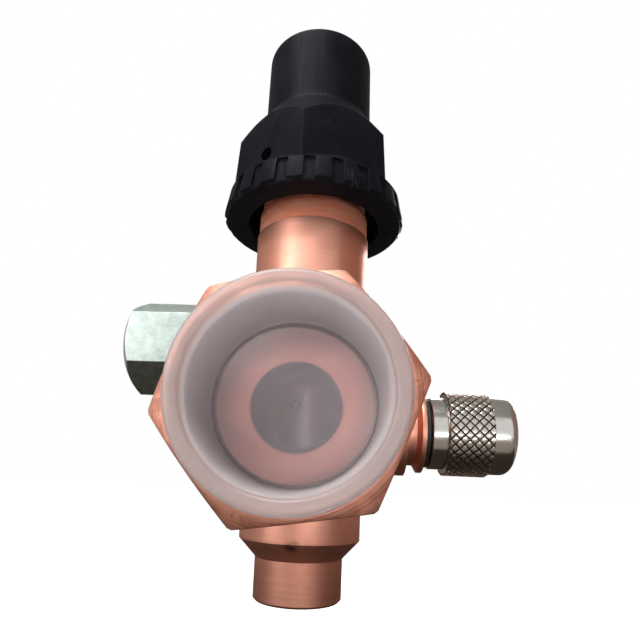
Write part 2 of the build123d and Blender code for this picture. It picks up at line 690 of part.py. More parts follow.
def main():
    os.makedirs("parts", exist_ok=True)
    save("valve_body", make_valve_body())
    save("compressor_stub", make_compressor_stub())
    save("compressor_nut", make_compressor_nut())
    save("protective_plug", make_protective_plug())
    save("right_port_fitting", make_right_fitting())
    save("right_port_o_ring", make_o_ring())
    save("right_port_cap", make_right_cap())
    save("right_cap_seal", make_right_seal())
    save("left_port_fitting", make_left_fitting())
    save("left_port_cap", make_left_cap())
    save("left_cap_gasket", make_left_gasket())
    save("valve_core_body", make_core_body())
    save("valve_core_seal", make_core_seal())
    save("valve_core_pin", make_core_pin())
    save("valve_core_spring", make_core_spring())
    save("stem", make_stem())
    save("stem_disc", make_stem_disc())
    save("packing_washer", make_packing_washer())
    save("packing_rings", *make_packing_rings())
    save("gland_nut", make_gland_nut())
    save("stem_cap", make_stem_cap())
    save("stem_cap_seal", make_stem_cap_seal())


main()
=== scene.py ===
import json
import math

import bpy
from bpy.props import FloatProperty, FloatVectorProperty, IntProperty, PointerProperty
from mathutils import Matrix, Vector


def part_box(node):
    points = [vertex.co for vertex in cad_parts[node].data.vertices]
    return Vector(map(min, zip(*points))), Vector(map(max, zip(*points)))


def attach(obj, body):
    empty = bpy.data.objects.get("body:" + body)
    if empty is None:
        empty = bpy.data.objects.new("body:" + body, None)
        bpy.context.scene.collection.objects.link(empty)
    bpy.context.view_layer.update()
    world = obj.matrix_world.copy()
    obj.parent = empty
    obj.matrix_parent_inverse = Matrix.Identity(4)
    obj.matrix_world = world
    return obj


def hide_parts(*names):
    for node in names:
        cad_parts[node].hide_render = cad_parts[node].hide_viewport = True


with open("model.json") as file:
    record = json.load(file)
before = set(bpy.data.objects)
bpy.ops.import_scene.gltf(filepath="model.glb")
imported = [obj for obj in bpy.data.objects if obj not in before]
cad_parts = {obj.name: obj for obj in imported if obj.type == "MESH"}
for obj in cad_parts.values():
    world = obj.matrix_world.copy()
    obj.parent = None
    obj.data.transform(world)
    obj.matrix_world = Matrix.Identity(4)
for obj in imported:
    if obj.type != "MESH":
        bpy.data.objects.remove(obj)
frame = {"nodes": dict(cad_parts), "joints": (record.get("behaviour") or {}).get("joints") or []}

bl_info = {
    "name": "Refrigerant Service Valve",
    "version": (1, 0, 0),
    "blender": (4, 5, 0),
    "location": "3D View > Sidebar > Valve",
    "description": "Dresses the packed valve: plated metal, knurl, threads, plug and stem cap",
    "category": "Object",
}

MM = 0.001
NODES = frame["nodes"]
JOINTS = {joint["name"]: joint for joint in frame["joints"]}
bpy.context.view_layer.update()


# ---- places read from the frame, in metres ----
def centre_of(node):
    low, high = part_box(node)
    return (Vector(low) + Vector(high)) / 2


RIGHT_HEIGHT = centre_of("right_port_cap").z
LEFT_HEIGHT = centre_of("left_port_cap").z
NUT_AXIS_HEIGHT = JOINTS["nut_spin"]["pos_m"][2]
PORT_AXIS_HEIGHT = centre_of("protective_plug").z
BODY_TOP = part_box("valve_body")[1][2]
COLLAR_HEIGHT = BODY_TOP - 12.1 * MM
COLLAR_PITCH = 0.7 * MM
COLLAR_RELIEF = 5.0  # times the height of the body's own lines
BODY_BORE, STUB_BORE = 7.0 * MM, 6.25 * MM
BURNT_SPOT = (-0.6 * MM, -9.4 * MM, 9.6 * MM)
BURNT_SIZE = 1.5 * MM
NUT_FACE = -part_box("compressor_nut")[0][1]
STUB_FACE = -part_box("compressor_stub")[0][1]


# ---- settings ----
def colour_setting(name, description, default):
    return FloatVectorProperty(
        name=name, description=description, subtype="COLOR", default=default, min=0, max=1,
    )


def length_setting(name, description, default):
    return FloatProperty(
        name=name, description=description, default=default, subtype="DISTANCE", unit="LENGTH",
    )


def power_setting(name, description, default):
    return FloatProperty(name=name, description=description, default=default, unit="POWER")


def share_setting(name, description, default, low=0, high=1):
    return FloatProperty(name=name, description=description, default=default, min=low, max=high)


class CopperSettings(bpy.types.PropertyGroup):
    colour: colour_setting("Copper", "Fresh copper plating", (0.79, 0.385, 0.285))
    tarnish: colour_setting("Tarnish", "Browned copper in stains and hollows", (0.46, 0.17, 0.10))
    roughness: share_setting("Roughness", "Satin of the plated surface", 0.40)
    line_pitch: length_setting("Turning pitch", "Spacing of the turning lines on the body", 0.22 * MM)
    nut_line_pitch: length_setting("Nut turning pitch", "Spacing of the coarser lines on the nut", 0.6 * MM)


class EdgeSettings(bpy.types.PropertyGroup):
    metal_edge: length_setting("Metal edges", "Rounding of the turned and milled edges", 0.16 * MM)
    moulded_edge: length_setting("Moulded edges", "Rounding of the stem cap's edges", 0.3 * MM)
    hexagon_edge: length_setting(
        "Hexagon cap edges", "Rounding of the small hexagon cap's edges", 0.35 * MM,
    )


class KnurlSettings(bpy.types.PropertyGroup):
    around: IntProperty(name="Diamonds around", description="Diamonds in one row", default=30, min=12)
    row_pitch: length_setting("Row pitch", "Distance along the cap between rows of one kind", 1.5 * MM)
    depth: length_setting("Depth", "Height of a diamond above its grooves", 0.30 * MM)
    top_share: share_setting("Top share", "Width of a diamond's worn top over its foot", 0.78, 0.3, 0.95)


class PlugSettings(bpy.types.PropertyGroup):
    colour: colour_setting("Plastic", "Frosted polyethylene", (0.84, 0.81, 0.82))
    # painted shade: the flange is the walls' plastic in a darker colour
    flange_shaded_colour: colour_setting(
        "Flange", "The thicker, handled plastic of the flange", (0.74, 0.68, 0.67),
    )
    # painted light: the floor's pink tint stands for the copper glow seen through it
    floor_glow_colour: colour_setting("Floor", "The thin, clearer plastic of the floor", (0.94, 0.83, 0.86))
    flange_clearness: share_setting("Flange clearness", "Light that passes the flange", 0.76)
    wall_clearness: share_setting("Wall clearness", "Light that passes the thin walls", 0.6)
    floor_clearness: share_setting("Floor clearness", "Light that passes the floor", 0.85)
    wall_roughness: share_setting("Frost", "Roughness of flange and walls", 0.36)
    floor_roughness: share_setting("Floor frost", "Roughness of the floor", 0.20)


class ThreadSettings(bpy.types.PropertyGroup):
    nut_pitch: length_setting("Nut pitch", "Pitch of the compressor nut's thread", 25.4 / 14 * MM)
    port_pitch: length_setting("Port pitch", "Pitch of the gauge ports' thread", 1.27 * MM)
    cap_pitch: length_setting("Cap pitch", "Pitch of the stem cap's thread", 1.5 * MM)


class StageSettings(bpy.types.PropertyGroup):
    camera_place: FloatVectorProperty(
        name="Camera", description="Where the camera stands", subtype="TRANSLATION",
        default=(5.493 * MM, -87.313 * MM, 19.729 * MM),
    )
    camera_turn: FloatVectorProperty(
        name="Camera turn", description="The camera's Euler angles", subtype="EULER",
        default=tuple(math.radians(angle) for angle in (99.0606, -2.3764, 1.6838)),
    )
    lens: FloatProperty(name="Lens", description="Focal length in millimetres", default=28.148)
    shift: FloatVectorProperty(
        name="Shift", description="Lens shift of the framing", size=2, default=(0.0015, 0.125),
    )
    floor_drop: length_setting("Floor", "How far the floor lies under the solder socket", 40 * MM)
    key_power: power_setting("Key", "Power of the main lamp", 0.95)
    strip_power: power_setting("Strip", "Power of the low strip", 0.085)
    top_power: power_setting("Top", "Power of the upper lamp", 0.7)
    back_power: power_setting("Back", "Power of the lamp behind", 0.4)


SETTINGS = {
    "valve_copper": CopperSettings,
    "valve_edges": EdgeSettings,
    "valve_knurl": KnurlSettings,
    "valve_plug": PlugSettings,
    "valve_threads": ThreadSettings,
    "valve_stage": StageSettings,
}


def settings(name):
    return getattr(bpy.context.scene, name)


# ---- node helpers ----
def put(tree, kind, inputs=None, **settings_of_node):
    """Adds a node; inputs holds sockets to wire in or values to set, by name or number."""
    node = tree.nodes.new(kind)
    for name, value in settings_of_node.items():
        setattr(node, name, value)
    for key, value in (inputs or {}).items():
        if isinstance(value, bpy.types.NodeSocket):
            tree.links.new(value, node.inputs[key])
        else:
            node.inputs[key].default_value = value
    return node


def maths(tree, operation, *values, clamp=False):
    node = put(tree, "ShaderNodeMath", dict(enumerate(values)), operation=operation, use_clamp=clamp)
    return node.outputs[0]


def blend_colours(tree, mask, low, high):
    """Mixes two colours by a mask."""
    node = put(tree, "ShaderNodeMix", {0: mask, 6: low, 7: high}, data_type="RGBA")
    return node.outputs[2]


def steps(tree, value, low, high, low_out=0.0, high_out=1.0):
    node = put(
        tree, "ShaderNodeMapRange",
        {"Value": value, "From Min": low, "From Max": high, "To Min": low_out, "To Max": high_out},
        interpolation_type="SMOOTHSTEP",
    )
    return node.outputs["Result"]


def noise(tree, place, scale, detail):
    return put(
        tree, "ShaderNodeTexNoise", {"Vector": place, "Scale": scale, "Detail": detail}
    ).outputs[0]


def axis_distance(tree, place):
    """How far a point lies from the Z axis of its vector."""
    across = put(tree, "ShaderNodeVectorMath", {0: place, 1: (1, 1, 0)}, operation="MULTIPLY").outputs[0]
    return put(tree, "ShaderNodeVectorMath", {0: across}, operation="LENGTH").outputs["Value"]


def new_group(name, inputs, outputs):
    """An empty shader node group: (socket name, socket kind, default) for each input."""
    tree = bpy.data.node_groups.new(name, "ShaderNodeTree")
    for socket_name, kind, default in inputs:
        socket = tree.interface.new_socket(socket_name, in_out="INPUT", socket_type=kind)
        if default is not None:
            socket.default_value = default
    for socket_name, kind in outputs:
        tree.interface.new_socket(socket_name, in_out="OUTPUT", socket_type=kind)
    return tree, tree.nodes.new("NodeGroupInput").outputs, tree.nodes.new("NodeGroupOutput").inputs


FLOAT, VECTOR = "NodeSocketFloat", "NodeSocketVector"


def lathe_lines_group():
    """Fine rings left by a turning tool about the Z axis of the vector."""
    tree, given, out = new_group(
        "Lathe lines",
        [("Vector", VECTOR, None), ("Pitch", FLOAT, 0.0003), ("Wander", FLOAT, 1.0)],
        [("Lines", FLOAT)],
    )
    parts = put(tree, "ShaderNodeSeparateXYZ", {0: given["Vector"]}).outputs
    radius = axis_distance(tree, given["Vector"])
    across = maths(tree, "DIVIDE", radius, given["Pitch"])
    along = maths(tree, "DIVIDE", parts[2], given["Pitch"])
    turn = maths(tree, "MULTIPLY", maths(tree, "DIVIDE", parts[0], radius), given["Wander"])
    place = put(tree, "ShaderNodeCombineXYZ", {0: across, 1: along, 2: turn}).outputs[0]
    rough = put(
        tree, "ShaderNodeTexNoise",
        {"Vector": place, "Scale": 0.5, "Detail": 3.0, "Roughness": 0.7},
    )
    tree.links.new(steps(tree, rough.outputs[0], 0.25, 0.75), out["Lines"])
    return tree


def blotches_group():
    """Soft stains: 0 on clean metal, 1 in the middle of a stain."""
    tree, given, out = new_group(
        "Blotches",
        [("Vector", VECTOR, None), ("Size", FLOAT, 0.005), ("Cover", FLOAT, 0.4), ("Softness", FLOAT, 0.2)],
        [("Stain", FLOAT)],
    )
    scale = maths(tree, "DIVIDE", 1.0, given["Size"])
    cloudy = put(
        tree, "ShaderNodeTexNoise",
        {"Vector": given["Vector"], "Scale": scale, "Detail": 5.0, "Roughness": 0.6},
    )
    edge = maths(tree, "SUBTRACT", 1.0, given["Cover"])
    low = maths(tree, "SUBTRACT", edge, given["Softness"])
    high = maths(tree, "ADD", edge, given["Softness"])
    tree.links.new(steps(tree, cloudy.outputs[0], low, high), out["Stain"])
    return tree


def edge_wear_and_glint_group():
    """Mask of the outer edges, broken up as handling wears them; on copper and zinc the brightened edges
    are partly painted glints.
    """
    tree, given, out = new_group(
        "Edge wear and glint",
        [("Vector", VECTOR, None), ("Width", FLOAT, 0.0003), ("Amount", FLOAT, 1.0)],
        [("Wear", FLOAT)],
    )
    rounded = put(tree, "ShaderNodeBevel", {"Radius": given["Width"]}, samples=6).outputs[0]
    plain = put(tree, "ShaderNodeNewGeometry").outputs["Normal"]
    likeness = put(
        tree, "ShaderNodeVectorMath", {0: rounded, 1: plain}, operation="DOT_PRODUCT"
    ).outputs["Value"]
    bend = maths(tree, "SUBTRACT", 1.0, likeness, clamp=True)
    patchy = steps(tree, noise(tree, given["Vector"], 900.0, 4.0), 0.36, 0.62)
    broken = maths(tree, "MULTIPLY", steps(tree, bend, 0.01, 0.14), patchy)
    tree.links.new(maths(tree, "MULTIPLY", broken, given["Amount"], clamp=True), out["Wear"])
    return tree


def scratches_group():
    """Short thin scratches that run mostly along Z of the vector."""
    tree, given, out = new_group(
        "Scratches",
        [("Vector", VECTOR, None), ("Size", FLOAT, 0.004), ("Cover", FLOAT, 0.3)],
        [("Scratch", FLOAT)],
    )
    scaled = put(
        tree, "ShaderNodeMapping",
        {"Vector": given["Vector"], "Rotation": (0.5, 0.3, 0.4), "Scale": (1.0, 0.12, 0.06)},
    ).outputs[0]
    scale = maths(tree, "DIVIDE", 14.0, given["Size"])
    ridge = maths(tree, "ABSOLUTE", maths(tree, "SUBTRACT", noise(tree, scaled, scale, 2.0), 0.5))
    line = steps(tree, ridge, 0.0, 0.03, 1.0, 0.0)
    patch = noise(tree, given["Vector"], maths(tree, "DIVIDE", 1.0, given["Size"]), 2.0)
    edge = maths(tree, "SUBTRACT", 1.0, given["Cover"])
    shown = steps(tree, patch, edge, maths(tree, "ADD", edge, 0.12))
    tree.links.new(maths(tree, "MULTIPLY", line, shown), out["Scratch"])
    return tree


GROUP_MAKERS = {
    "lathe_lines": lathe_lines_group,
    "blotches": blotches_group,
    "edge_wear_and_glint": edge_wear_and_glint_group,
    "scratches": scratches_group,
}
GROUPS = {}


def effect(tree, name, **inputs):
    """Places a shared effect in a material and returns its output socket."""
    if name not in GROUPS:
        GROUPS[name] = GROUP_MAKERS[name]()
    return put(tree, "ShaderNodeGroup", inputs, node_tree=GROUPS[name]).outputs[0]


def start_material(name):
    material = bpy.data.materials.new(name)
    material.use_nodes = True
    tree = material.node_tree
    shader = tree.nodes["Principled BSDF"]
    return material, tree, shader


def start_finish(name):
    """A new material with its tree, shader and object coordinates."""
    material, tree, shader = start_material(name)
    return material, tree, shader, put(tree, "ShaderNodeTexCoord").outputs["Object"]


def object_vector(tree, centre=(0, 0, 0), turn=(0, 0, 0)):
    """Object coordinates about a centre, turned so that the piece's axis is Z."""
    place = put(tree, "ShaderNodeTexCoord").outputs["Object"]
    return put(
        tree, "ShaderNodeMapping",
        {"Vector": place, "Location": centre, "Rotation": turn}, vector_type="TEXTURE",
    ).outputs[0]


def relief(tree, shader, height, distance, strength=1.0):
    bump = put(tree, "ShaderNodeBump", {"Height": height, "Distance": distance, "Strength": strength})
    tree.links.new(bump.outputs[0], shader.inputs["Normal"])


ALONG_Z = (0, 0, 0)
ALONG_Y = (math.pi / 2, 0, 0)
ALONG_X = (0, math.pi / 2, 0)


# ---- materials ----
# partly painted shade: the bore colour is bare steel, darkened and tinted purple-grey
BURNT, BORE_STEEL_AND_SHADE = (0.10, 0.025, 0.02, 1), (0.26, 0.215, 0.25, 1)
# painted reflection: the collar's redder colour stands for the black cap it mirrors
# partly painted glint: the bright edge copper stands for wear and for glints along the edges
COLLAR_RED_REFLECTION, WORN_COPPER_AND_GLINT = (0.80, 0.27, 0.15, 1), (1.0, 0.62, 0.46, 1)
# painted shade: colour of the dark ring in the plug's inner corner
SEAM_SHADE = (0.30, 0.22, 0.21, 1)


def copper(
    name, centre, turn, pitch, relief_depth,
    stain_cover=0.3, smudge=None, band=None, bore=None, wear=0.7,
):
    """Copper plating on turned steel: rings of the tool, stains and bright edges, partly worn and partly
    painted glints.

    A smudge is a dark burnt spot (place, size), a band is a turned collar (height, pitch) tinted redder as
    a painted reflection of the black cap, and inside the radius of a bore the steel is bare and dark, the
    darkness partly painted shade.
    """
    chosen = settings("valve_copper")
    material, tree, shader, place = start_finish(name)
    lines = effect(tree, "lathe_lines", Vector=object_vector(tree, centre, turn), Pitch=pitch, Wander=1.5)
    stain = effect(tree, "blotches", Vector=place, Size=6 * MM, Cover=stain_cover, Softness=0.2)
    speck = effect(tree, "blotches", Vector=place, Size=0.9 * MM, Cover=0.26, Softness=0.05)
    colour = blend_colours(
        tree, maths(tree, "MULTIPLY", stain, 0.35), (*chosen.colour, 1), (*chosen.tarnish, 1)
    )
    groove = maths(tree, "MULTIPLY", maths(tree, "SUBTRACT", 1.0, lines), 0.22)
    colour = blend_colours(tree, groove, colour, (*chosen.tarnish, 1))
    colour = blend_colours(tree, maths(tree, "MULTIPLY", speck, 0.3), colour, (*chosen.tarnish, 1))
    if smudge:
        smudge_place, smudge_size = smudge
        away = put(
            tree, "ShaderNodeVectorMath", {0: place, 1: smudge_place}, operation="DISTANCE"
        ).outputs["Value"]
        ragged = noise(tree, place, 900.0, 5.0)
        reach = maths(tree, "ADD", away, maths(tree, "MULTIPLY", ragged, smudge_size))
        mask = steps(tree, reach, smudge_size * 0.7, smudge_size * 1.6, 0.8, 0.0)
        colour = blend_colours(tree, mask, colour, BURNT)
    # inside the bore: bare steel, its darkness partly painted shade
    if bore:
        away = axis_distance(tree, object_vector(tree, centre, turn))
        inside = steps(tree, away, bore, bore + 0.05 * MM, 1.0, 0.0)
        colour = blend_colours(tree, inside, colour, BORE_STEEL_AND_SHADE)
    if band:
        start, band_pitch = band
        height = put(tree, "ShaderNodeSeparateXYZ", {0: place}).outputs[2]
        ragged = noise(tree, place, 260.0, 4.0)
        above = steps(
            tree, maths(tree, "ADD", height, maths(tree, "MULTIPLY", ragged, 0.5 * MM)),
            start + 0.2 * MM, start + 0.3 * MM,
        )
        rings = effect(
            tree, "lathe_lines", Vector=object_vector(tree, centre, turn), Pitch=band_pitch, Wander=3.0
        )
        # painted reflection: the turned collar is tinted redder for the black cap above it
        red_reflection_mask = maths(tree, "MULTIPLY", above, steps(tree, rings, 0.3, 0.7, 1.0, 0.35))
        colour = blend_colours(tree, red_reflection_mask, colour, COLLAR_RED_REFLECTION)
    # edges brightened partly as wear and partly as a painted glint
    edge = effect(tree, "edge_wear_and_glint", Vector=place, Width=0.25 * MM, Amount=wear)
    colour = blend_colours(tree, edge, colour, WORN_COPPER_AND_GLINT)
    tree.links.new(colour, shader.inputs["Base Color"])
    shader.inputs["Metallic"].default_value = 1.0
    dull = maths(tree, "ADD", chosen.roughness, maths(tree, "MULTIPLY", stain, 0.12))
    if band:
        tree.links.new(steps(tree, above, 0.0, 1.0, 1.0, 0.6), shader.inputs["Metallic"])
        dull = maths(tree, "ADD", dull, maths(tree, "MULTIPLY", above, 0.2))
    if bore:
        dull = maths(tree, "ADD", dull, maths(tree, "MULTIPLY", inside, 0.4))
    dull = maths(tree, "ADD", dull, maths(tree, "MULTIPLY", lines, 0.06))
    tree.links.new(dull, shader.inputs["Roughness"])
    grain = noise(tree, place, 2600.0, 3.0)
    scratch = effect(tree, "scratches", Vector=place, Size=5 * MM, Cover=0.42)
    height = maths(tree, "ADD", lines, maths(tree, "MULTIPLY", grain, 0.4))
    height = maths(tree, "SUBTRACT", height, maths(tree, "MULTIPLY", scratch, 0.5))
    if band:
        ridges = maths(tree, "MULTIPLY", above, rings)
        height = maths(tree, "ADD", height, maths(tree, "MULTIPLY", ridges, COLLAR_RELIEF))
    relief(tree, shader, height, relief_depth)
    return material


def nickel(name):
    """Bright nickel with faint turning lines and a grey film."""
    material, tree, shader, place = start_finish(name)
    about_axis = object_vector(tree, (0, 0, RIGHT_HEIGHT), ALONG_X)
    lines = effect(tree, "lathe_lines", Vector=about_axis, Pitch=0.12 * MM, Wander=1.0)
    film = effect(tree, "blotches", Vector=place, Size=3 * MM, Cover=0.45, Softness=0.2)
    colour = blend_colours(tree, film, (0.60, 0.59, 0.56, 1), (0.50, 0.48, 0.44, 1))
    tree.links.new(colour, shader.inputs["Base Color"])
    shader.inputs["Metallic"].default_value = 1.0
    tree.links.new(steps(tree, film, 0.0, 1.0, 0.17, 0.27), shader.inputs["Roughness"])
    relief(tree, shader, lines, 0.0012 * MM)
    return material


def knurled_nickel(name):
    """Nickel of the diamonds: bright worn tops, painted shade darkening towards the grooves."""
    chosen = settings("valve_knurl")
    low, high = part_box("right_port_cap")
    crest = (high[1] - low[1]) / 2
    material, tree, shader, place = start_finish(name)
    out = axis_distance(tree, object_vector(tree, (0, 0, RIGHT_HEIGHT), ALONG_X))
    film = effect(tree, "blotches", Vector=place, Size=2 * MM, Cover=0.5, Softness=0.2)
    colour = blend_colours(tree, film, (0.56, 0.53, 0.48, 1), (0.46, 0.42, 0.37, 1))
    # painted shade: the diamonds darken with depth towards the groove floor
    groove_shade = steps(tree, out, crest - 0.9 * chosen.depth, crest - 0.25 * chosen.depth, 0.92, 0.0)
    colour = blend_colours(tree, groove_shade, colour, (0.035, 0.028, 0.024, 1))
    tree.links.new(colour, shader.inputs["Base Color"])
    shader.inputs["Metallic"].default_value = 1.0
    tree.links.new(steps(tree, film, 0.0, 1.0, 0.24, 0.34), shader.inputs["Roughness"])
    grain = noise(tree, place, 2200.0, 3.0)
    relief(tree, shader, grain, 0.01 * MM)
    return material


def shaded_groove_nickel(name):
    """The floor of the knurl's grooves, darkened in patches as painted shade."""
    material, tree, shader, place = start_finish(name)
    shade_mask = effect(tree, "blotches", Vector=place, Size=1.2 * MM, Cover=0.55, Softness=0.2)
    # painted shade: the groove floor goes from dark grey to near black in patches
    colour = blend_colours(tree, shade_mask, (0.24, 0.21, 0.18, 1), (0.05, 0.035, 0.03, 1))
    tree.links.new(colour, shader.inputs["Base Color"])
    shader.inputs["Metallic"].default_value = 0.8
    tree.links.new(steps(tree, shade_mask, 0.0, 1.0, 0.35, 0.6), shader.inputs["Roughness"])
    return material


def zinc(name):
    """Clear-passivated zinc: a pale green mottled skin over milled steel."""
    material, tree, shader, place = start_finish(name)
    cloud = effect(tree, "blotches", Vector=place, Size=1.6 * MM, Cover=0.5, Softness=0.25)
    fine = effect(tree, "blotches", Vector=place, Size=0.5 * MM, Cover=0.42, Softness=0.12)
    colour = blend_colours(tree, cloud, (0.44, 0.50, 0.47, 1), (0.30, 0.36, 0.33, 1))
    colour = blend_colours(tree, maths(tree, "MULTIPLY", fine, 0.35), colour, (0.62, 0.67, 0.64, 1))
    # partly painted highlight: the pale edge colour stands for wear and for the light along the edges
    edge = effect(tree, "edge_wear_and_glint", Vector=place, Width=0.4 * MM, Amount=0.7)
    colour = blend_colours(tree, edge, colour, (0.82, 0.84, 0.80, 1))
    tree.links.new(colour, shader.inputs["Base Color"])
    shader.inputs["Metallic"].default_value = 1.0
    tree.links.new(steps(tree, fine, 0.0, 1.0, 0.46, 0.58), shader.inputs["Roughness"])
    grain = noise(tree, place, 1500.0, 4.0)
    relief(tree, shader, grain, 0.02 * MM)
    return material


def black_nylon(name):
    """Satin black moulding with a fine spark grain, handling scuffs and a little dust."""
    material, tree, shader, place = start_finish(name)
    cloud = effect(tree, "blotches", Vector=place, Size=7 * MM, Cover=0.5, Softness=0.3)
    dust = effect(tree, "blotches", Vector=place, Size=1.1 * MM, Cover=0.26, Softness=0.06)
    scuff = effect(tree, "scratches", Vector=place, Size=6 * MM, Cover=0.4)
    edge = effect(tree, "edge_wear_and_glint", Vector=place, Width=0.35 * MM, Amount=0.55)
    colour = blend_colours(tree, cloud, (0.003, 0.0035, 0.0055, 1), (0.006, 0.007, 0.010, 1))
    colour = blend_colours(tree, maths(tree, "MULTIPLY", dust, 0.04), colour, (0.20, 0.18, 0.15, 1))
    colour = blend_colours(tree, maths(tree, "MULTIPLY", scuff, 0.12), colour, (0.25, 0.24, 0.22, 1))
    colour = blend_colours(tree, maths(tree, "MULTIPLY", edge, 0.18), colour, (0.16, 0.15, 0.13, 1))
    tree.links.new(colour, shader.inputs["Base Color"])
    shader.inputs["Specular IOR Level"].default_value = 0.035
    tree.links.new(steps(tree, cloud, 0.0, 1.0, 0.42, 0.54), shader.inputs["Roughness"])
    grain = noise(tree, place, 1400.0, 3.0)
    relief(tree, shader, grain, 0.012 * MM)
    return material


def polyethylene(name, roughness, clearness, colour):
    """Frosted polyethylene that copper shows through, with the mould's turning rings.

    Painted shade darkens the corner where the wall meets the floor."""
    seam, seam_width = 10.75 * MM, 0.3 * MM
    material, tree, shader, place = start_finish(name)
    milk = effect(tree, "blotches", Vector=place, Size=6 * MM, Cover=0.5, Softness=0.3)
    about_axis = object_vector(tree, (0, 0, PORT_AXIS_HEIGHT), ALONG_Y)
    rings = effect(tree, "lathe_lines", Vector=about_axis, Pitch=0.5 * MM, Wander=0.4)
    off_seam = maths(tree, "ABSOLUTE", maths(tree, "SUBTRACT", axis_distance(tree, about_axis), seam))
    pale = tuple(channel * 0.94 for channel in colour)
    milky = blend_colours(tree, milk, (*colour, 1), (*pale, 1))
    # painted shade: a dark ring where the wall meets the floor
    shade_mask = steps(tree, off_seam, 0.5 * seam_width, seam_width, 0.8, 0.0)
    tree.links.new(blend_colours(tree, shade_mask, milky, SEAM_SHADE), shader.inputs["Base Color"])
    shader.inputs["Transmission Weight"].default_value = clearness
    shader.inputs["IOR"].default_value = 1.5
    tree.links.new(
        steps(tree, milk, 0.0, 1.0, roughness * 0.92, roughness * 1.08), shader.inputs["Roughness"]
    )
    grain = noise(tree, place, 1100.0, 3.0)
    height = maths(tree, "ADD", maths(tree, "MULTIPLY", rings, 0.8), maths(tree, "MULTIPLY", grain, 0.5))
    relief(tree, shader, height, 0.006 * MM)
    return material


def plain_metal(name, light, dark, roughness, centre, turn):
    """Turned brass, steel or soft copper of the inner pieces."""
    material, tree, shader, place = start_finish(name)
    about_axis = object_vector(tree, centre, turn)
    lines = effect(tree, "lathe_lines", Vector=about_axis, Pitch=0.15 * MM, Wander=1.0)
    stain = effect(tree, "blotches", Vector=place, Size=2 * MM, Cover=0.4, Softness=0.2)
    tree.links.new(blend_colours(tree, stain, (*light, 1), (*dark, 1)), shader.inputs["Base Color"])
    shader.inputs["Metallic"].default_value = 1.0
    tree.links.new(steps(tree, stain, 0.0, 1.0, roughness, roughness + 0.1), shader.inputs["Roughness"])
    relief(tree, shader, lines, 0.003 * MM)
    return material


def soft_solid(name, light, dark, roughness, grain_size):
    """Rubber or fluoropolymer: dull, faintly grained, with a bloom."""
    material, tree, shader, place = start_finish(name)
    bloom = effect(tree, "blotches", Vector=place, Size=2 * MM, Cover=0.45, Softness=0.2)
    tree.links.new(blend_colours(tree, bloom, (*light, 1), (*dark, 1)), shader.inputs["Base Color"])
    tree.links.new(steps(tree, bloom, 0.0, 1.0, roughness, roughness + 0.12), shader.inputs["Roughness"])
    grain = noise(tree, place, 1 / grain_size, 3.0)
    relief(tree, shader, grain, 0.01 * MM)
    return material


# ---- modelling helpers ----
def deselect():
    bpy.ops.object.select_all(action="DESELECT")


def activate(piece):
    deselect()
    piece.select_set(True)
    bpy.context.view_layer.objects.active = piece


def edit(piece):
    activate(piece)
    bpy.ops.object.mode_set(mode="EDIT")
    bpy.ops.mesh.select_all(action="SELECT")


def leave_edit():
    bpy.ops.object.mode_set(mode="OBJECT")


def apply_modifier(piece, name, kind, **values):
    activate(piece)
    modifier = piece.modifiers.new(name, kind)
    for key, value in values.items():
        setattr(modifier, key, value)
    bpy.ops.object.modifier_apply(modifier=name)


def lay_in_place(piece, turn, place):
    """Turns and moves a finished piece, then bakes its place into its mesh."""
    activate(piece)
    piece.rotation_euler = turn
    piece.location = place
    bpy.ops.object.transform_apply(location=True, rotation=True, scale=True)


def smooth(piece, angle=30):
    activate(piece)
    bpy.ops.object.shade_smooth_by_angle(angle=math.radians(angle))


def join(pieces):
    deselect()
    for piece in pieces:
        piece.select_set(True)
    bpy.context.view_layer.objects.active = pieces[0]
    bpy.ops.object.join()
    return bpy.context.object


def male_outline(core, crest, pitch):
    """Corners of a ridge that stands outwards."""
    return [(core, -0.44 * pitch), (crest, -0.07 * pitch), (crest, 0.07 * pitch), (core, 0.44 * pitch)]


def finish_piece(piece, name, body, slot, materials, *nodes):
    """Names a piece, gives it its materials and body, and hides the CAD nodes it stands for."""
    piece.name = name
    piece.data.name = name
    if materials:
        piece.data.materials.clear()
        for material in materials:
            piece.data.materials.append(material)
    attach(piece, body)
    if nodes:
        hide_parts(*nodes)


def dressed_copy(node, width, segments=2, angle=32):
    """Copy of a CAD node's mesh, merged, with its edges rounded."""
    mesh = NODES[node].data.copy()
    piece = bpy.data.objects.new(node + "_dressed", mesh)
    bpy.context.scene.collection.objects.link(piece)
    edit(piece)
    bpy.ops.mesh.remove_doubles(threshold=0.002 * MM)
    bpy.ops.mesh.dissolve_limited(angle_limit=math.radians(0.4))
    leave_edit()
    apply_modifier(
        piece, "Rounded edges", "BEVEL", width=width, segments=segments, limit_method="ANGLE",
        angle_limit=math.radians(angle), use_clamp_overlap=True, harden_normals=False,
    )
    smooth(piece, 28)
    return piece


